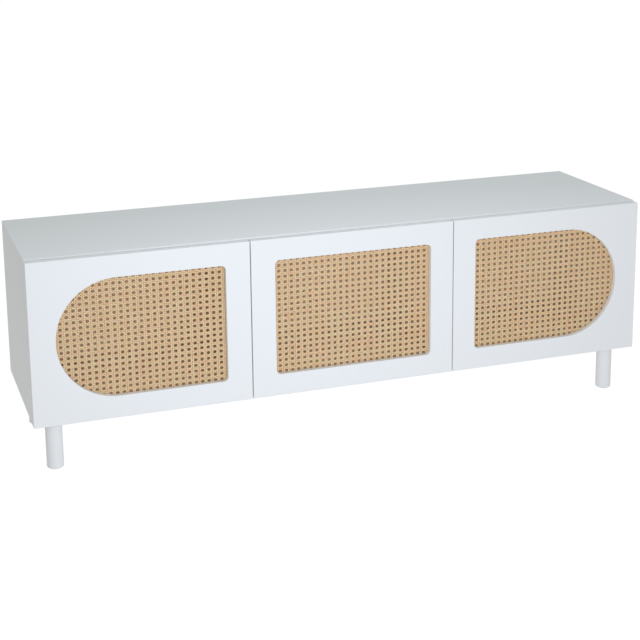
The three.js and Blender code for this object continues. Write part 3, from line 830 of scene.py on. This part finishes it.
def make_door(name):
    low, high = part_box(f"{name}_door")
    door = block(f"{name}_door_panel", low, high)
    opening = upright("opening", opening_outline(name, 0.0), low.y - OVERRUN, high.y + OVERRUN)
    combined(door, opening, "DIFFERENCE")
    rebate = upright("rebate", opening_outline(name, REBATE_LIP), low.y + LIP_DEPTH, high.y + OVERRUN)
    combined(door, rebate, "DIFFERENCE")
    for level, rise in hinge_heights(name):
        cup_low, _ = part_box(f"{name}_{level}_hinge_cup")
        floor = cup_low.y - REBATE_PLAY
        centre = door_point(name, CUP_CENTRE, 0.0, rise - low.z)
        centre.y = floor
        radius = CUP_RADIUS + REBATE_PLAY
        length = high.y + OVERRUN - floor
        profile = [(0, 0), (radius, 0), (radius, length), (0, length)]
        bore = turned("bore", profile, centre, (0, 1, 0), CUP_SIDES)
        combined(door, bore, "DIFFERENCE")
    dressed(eased(door, DOOR_EDGE_ROUND), LACQUER, "white_lacquer", f"{name}_door_body", f"{name}_door")


def make_cane(name):
    low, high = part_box(f"{name}_cane")
    side = float(DOORS[name]["side"])
    half_height = (high.z - low.z) / 2
    free_radius = OPENING_CORNER + REBATE_LIP - REBATE_PLAY
    piece = run_tree(new_piece(f"{name}_woven_cane", bpy.data.meshes.new("cane")), CANE_WEAVE, {
        "Half Width": (high.x - low.x) / 2, "Half Height": half_height, "Side": side,
        "Hinge End Radius": half_height if DOORS[name]["round_end"] else free_radius,
        "Free End Radius": free_radius, "Centre": (low + high) / 2,
        "Seed": list(DOORS).index(name) + 1, "Cane": CANE})
    dressed(piece, CANE, "cane", f"{name}_door_body", f"{name}_cane")


def make_retainer(name):
    low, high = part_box(f"{name}_cane_retainer")
    outline = opening_outline(name, REBATE_LIP - REBATE_PLAY)
    retainer = upright(f"{name}_retaining_frame", outline, low.y, high.y)
    hole = upright("hole", opening_outline(name, 0.0), low.y - OVERRUN, high.y + OVERRUN)
    combined(retainer, hole, "DIFFERENCE")
    dressed(eased(retainer, REFINED_EDGE), HARDBOARD, "backing_board", f"{name}_door_body",
            f"{name}_cane_retainer")


def make_cup(name, level, rise):
    low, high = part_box(f"{name}_{level}_hinge_cup")
    _, door_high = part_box(f"{name}_door")
    centre = Vector(((low.x + high.x) / 2, low.y, rise))
    seat = door_high.y + REBATE_PLAY - low.y
    rim = high.y - low.y
    inner = CUP_RADIUS - CUP_WALL
    profile = [(0, 0), (CUP_RADIUS - CUP_WALL, 0), (CUP_RADIUS, CUP_WALL), (CUP_RADIUS, seat),
               (CUP_FLANGE_RADIUS, seat), (CUP_FLANGE_RADIUS, rim), (inner, rim), (inner, 2 * CUP_WALL),
               (inner - CUP_WALL, CUP_WALL), (0, CUP_WALL)]
    cup = turned(f"{name}_{level}_hinge_pot", profile, centre, (0, 1, 0), CUP_SIDES)
    for end in (-1, 1):
        root, tip = CUP_RADIUS + CUP_WALL / 2, EAR_REACH + EAR_RADIUS
        near, far = sorted((rise + end * root, rise + end * tip))
        outline = rounded_outline(centre.x - EAR_RADIUS, centre.x + EAR_RADIUS, near, far,
                                  CUP_WALL, CUP_WALL)
        ear = upright("ear", outline, low.y + seat, low.y + rim)
        combined(cup, ear, "UNION")
    eased(cup, CUP_WALL / 5, REFINED_SEGMENTS)
    dressed(cup, NICKEL, "nickel", f"{name}_door_body", f"{name}_{level}_hinge_cup")


def make_hinges(name):
    for level, rise in hinge_heights(name):
        make_cup(name, level, rise)
        hinge = f"{name}_{level}_hinge"
        dressed(refined(f"{hinge}_link"), NICKEL, "nickel", f"{name}_hinge_links", f"{hinge}_link")
        dressed(refined(f"{hinge}_arm"), NICKEL, "nickel", "carcass", f"{hinge}_arm")
        dressed(refined(f"{hinge}_plate"), ZINC, "zinc", "carcass", f"{hinge}_plate")


def make_latch(name):
    dressed(refined(f"{name}_latch_housing"), PLASTIC, "white_plastic", "carcass", f"{name}_latch_housing")
    dressed(refined(f"{name}_latch_plunger"), PLASTIC, "white_plastic", f"{name}_plunger_body",
            f"{name}_latch_plunger")
    dressed(refined(f"{name}_strike_plate"), ZINC, "zinc", f"{name}_door_body", f"{name}_strike_plate")


# Small fittings

def even_line(start, end, spacing):
    """Points from start to end, about as far apart as the spacing."""
    start, end = Vector(start), Vector(end)
    count = max(1, round((end - start).length / spacing))
    return [start.lerp(end, step / count) for step in range(count + 1)]


def even_loop(outline, spacing):
    """Points at even distances round a closed outline of (x, z) points."""
    closed = outline + outline[:1]
    lengths = [math.dist(a, b) for a, b in zip(closed, closed[1:])]
    count = round(sum(lengths) / spacing)
    step = sum(lengths) / count
    spots, passed = [], 0.0
    for (a, b), length in zip(zip(closed, closed[1:]), lengths):
        while len(spots) < count and len(spots) * step < passed + length:
            share = (len(spots) * step - passed) / length
            spots.append((a[0] + share * (b[0] - a[0]), a[1] + share * (b[1] - a[1])))
        passed += length
    return spots


def make_leg_screws():
    spots = []
    for name in leg_names():
        low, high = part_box(f"{name}_leg_plate")
        for x in (low.x + LEG_SCREW_INSET, high.x - LEG_SCREW_INSET):
            for y in (low.y + LEG_SCREW_INSET, high.y - LEG_SCREW_INSET):
                spots.append((Vector((x, y, low.z)), Vector((0, 0, -1))))
    heads("leg_plate_screws", SCREW_HEADS, spots, {**PLATE_SCREW, "Seed": 11}, ZINC, "zinc", "carcass")


def make_back_nails():
    low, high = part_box("back_panel")
    partitions = [sum(corner.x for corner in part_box(f"{side}_partition")) / 2 for side in ("left", "right")]
    left, right = low.x + NAIL_INSET, high.x - NAIL_INSET
    bottom, top = low.z + 2 * NAIL_INSET, high.z - NAIL_INSET
    points = even_line((left, 0, bottom), (right, 0, bottom), NAIL_SPACING)
    points += even_line((left, 0, top), (right, 0, top), NAIL_SPACING)
    for x in (left, *partitions, right):
        points += even_line((x, 0, bottom), (x, 0, top), NAIL_SPACING)[1:-1]
    spots = [(Vector((p.x, high.y, p.z)), Vector((0, 1, 0))) for p in points]
    heads("back_panel_nails", PLAIN_HEADS, spots, {**PANEL_NAIL, "Seed": 5}, ZINC, "zinc", "carcass")


def make_cam_covers():
    spots = []
    faces = {"left_side_panel": (1,), "right_side_panel": (-1,),
             "left_partition": (-1, 1), "right_partition": (-1, 1)}
    for node, ways in faces.items():
        low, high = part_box(node)
        for way in ways:
            for y in (low.y + CAM_SETBACK, high.y - CAM_SETBACK):
                x = high.x if way > 0 else low.x
                spots.append((Vector((x, y, high.z - CAM_DROP)), Vector((way, 0, 0))))
    heads("cam_covers", PLAIN_HEADS, spots, {**CAM_COVER, "Seed": 7}, PLASTIC, "white_plastic", "carcass")


def make_hinge_screws(name):
    side = DOORS[name]["side"]
    inward, back = Vector((side, 0, 0)), Vector((0, 1, 0))
    plate_spots, arm_spots, cup_spots = [], [], []
    for level, rise in hinge_heights(name):
        low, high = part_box(f"{name}_{level}_hinge_plate")
        seat, face = (low.x, high.x) if side > 0 else (high.x, low.x)
        for end in (-1, 1):
            spot = Vector(((seat + face) / 2, low.y + HINGE_SCREW_SETBACK, rise + end * HINGE_SCREW_REACH))
            plate_spots.append((spot, inward))
        for setback in ARM_SCREW_SETBACKS:
            spot = Vector((face + side * (REBATE_PLAY + ARM_THICKNESS), low.y + setback, rise))
            arm_spots.append((spot, inward))
        low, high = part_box(f"{name}_{level}_hinge_cup")
        for end in (-1, 1):
            cup_spots.append((Vector(((low.x + high.x) / 2, high.y, rise + end * EAR_REACH)), back))
    seed = list(DOORS).index(name)
    heads(f"{name}_hinge_plate_screws", SCREW_HEADS, plate_spots, {**PLATE_SCREW, "Seed": 20 + seed},
          ZINC, "zinc", "carcass")
    heads(f"{name}_hinge_arm_screws", SCREW_HEADS, arm_spots, {**ARM_SCREW, "Seed": 30 + seed},
          NICKEL, "nickel", "carcass")
    heads(f"{name}_hinge_cup_screws", SCREW_HEADS, cup_spots, {**CUP_SCREW, "Seed": 40 + seed},
          NICKEL, "nickel", f"{name}_door_body")


def make_door_fittings(name):
    low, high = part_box(f"{name}_strike_plate")
    centre = (low + high) / 2
    back = Vector((0, 1, 0))
    heads(f"{name}_strike_screw", SCREW_HEADS, [(Vector((centre.x, high.y, centre.z)), back)],
          {**STRIKE_SCREW, "Seed": 50}, ZINC, "zinc", f"{name}_door_body")
    _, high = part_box(f"{name}_cane_retainer")
    loop = even_loop(opening_outline(name, REBATE_LIP / 2), RETAINER_PIN_SPACING)
    pins = [(Vector((x, high.y, z)), back) for x, z in loop]
    heads(f"{name}_retainer_pins", PLAIN_HEADS, pins, {**RETAINER_PIN, "Seed": 9}, ZINC, "zinc",
          f"{name}_door_body")
    low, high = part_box(f"{name}_door")
    free_edge = high.x if DOORS[name]["side"] > 0 else low.x
    x = free_edge - DOORS[name]["side"] * BUMPER_INSET
    bumpers = [(Vector((x, high.y, z)), back) for z in (low.z + BUMPER_RISE, high.z - BUMPER_RISE)]
    heads(f"{name}_door_bumpers", PLAIN_HEADS, bumpers, {**BUMPER, "Seed": 2}, SILICONE, "white_plastic",
          f"{name}_door_body")


# Studio

def aim(place_at, target):
    return (Vector(target) - Vector(place_at)).to_track_quat("-Z", "Y")


def soft_light(name, place_at, target, size, power, colour):
    light = bpy.data.lights.new(name, "AREA")
    light.shape = "RECTANGLE"
    light.size, light.size_y = size
    light.energy = power
    light.color = colour
    lamp = bpy.data.objects.new(name, light)
    bpy.context.scene.collection.objects.link(lamp)
    lamp.location = place_at
    lamp.rotation_mode = "QUATERNION"
    lamp.rotation_quaternion = aim(place_at, target)
    return lamp


def make_floor():
    """A pale floor that looks white, and gives the cabinet less light from below than it shows."""
    corners = [(-FLOOR_REACH, -FLOOR_REACH), (FLOOR_REACH, -FLOOR_REACH),
               (FLOOR_REACH, FLOOR_REACH), (-FLOOR_REACH, FLOOR_REACH)]
    floor = upright("floor", corners, 0.0, FLOOR_THICKNESS)
    floor.data.transform(Matrix.Rotation(-math.pi / 2, 4, "X"))
    material, tree, shader = new_material("studio_floor")
    seen = place(tree, "ShaderNodeLightPath", out="Is Camera Ray")
    tree.links.new(between(tree, seen, FLOOR_GLOW, FLOOR_LOOK), shader.inputs["Emission Strength"])
    shader.inputs["Emission Color"].default_value = (1.0, 1.0, 1.0, 1.0)
    shader.inputs["Base Color"].default_value = FLOOR_COLOUR
    shader.inputs["Roughness"].default_value = 0.9
    material.cycles.emission_sampling = "NONE"
    floor.data.materials.append(material)


def make_studio():
    make_floor()
    world = bpy.data.worlds.new("studio")
    bpy.context.scene.world = world
    world.use_nodes = True
    sky = world.node_tree.nodes["Background"]
    sky.inputs["Color"].default_value = ROOM_COLOUR
    sky.inputs["Strength"].default_value = ROOM_LIGHT
    soft_light("front_light", FRONT_PLACE, LIT_PLACE, FRONT_SIZE, FRONT_POWER, FRONT_COLOUR)
    soft_light("top_light", TOP_PLACE, LIT_PLACE, TOP_SIZE, TOP_POWER, TOP_COLOUR)
    bpy.context.scene.view_settings.view_transform = "Standard"


def make_cane_glow(name):
    """The warm light that a panel's strands let through to the inside, which the renderer doesn't carry."""
    low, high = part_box(f"{name}_cane")
    middle = (low + high) / 2
    middle.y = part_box(f"{name}_cane_retainer")[1].y + CANE_GLOW_GAP
    size = ((high.x - low.x) * CANE_GLOW_SHARE, (high.z - low.z) * CANE_GLOW_SHARE)
    target = middle + Vector((0, 1, 0))
    lamp = soft_light(f"{name}_cane_glow", middle, target, size, CANE_GLOW_POWER, CANE_GLOW_COLOUR)
    lamp.visible_camera = False


def make_camera():
    """The photograph's camera, with a vertical shift of the lens that keeps the uprights upright."""
    data = bpy.data.cameras.new("camera")
    data.lens = LENS
    data.sensor_width = SENSOR
    data.shift_y = CAMERA_SHIFT
    camera = bpy.data.objects.new("camera", data)
    bpy.context.scene.collection.objects.link(camera)
    forward = Vector((math.sin(CAMERA_YAW) * math.cos(CAMERA_DROP),
                      math.cos(CAMERA_YAW) * math.cos(CAMERA_DROP), -math.sin(CAMERA_DROP)))
    right = Vector((math.cos(CAMERA_YAW), -math.sin(CAMERA_YAW), 0.0))
    down = forward.cross(right)
    rolled_right = math.cos(CAMERA_ROLL) * right + math.sin(CAMERA_ROLL) * down
    rolled_down = -math.sin(CAMERA_ROLL) * right + math.cos(CAMERA_ROLL) * down
    turn = Matrix((rolled_right, -rolled_down, -forward)).transposed()
    camera.matrix_world = Matrix.Translation(CAMERA_PLACE) @ turn.to_4x4()
    bpy.context.scene.camera = camera


make_camera()
make_boards()
make_back_nails()
make_cam_covers()
for leg_name in leg_names():
    make_leg(leg_name)
make_leg_screws()
for door_name in DOORS:
    make_door(door_name)
    make_cane(door_name)
    make_retainer(door_name)
    make_hinges(door_name)
    make_hinge_screws(door_name)
    make_latch(door_name)
    make_door_fittings(door_name)
    make_cane_glow(door_name)
make_studio()
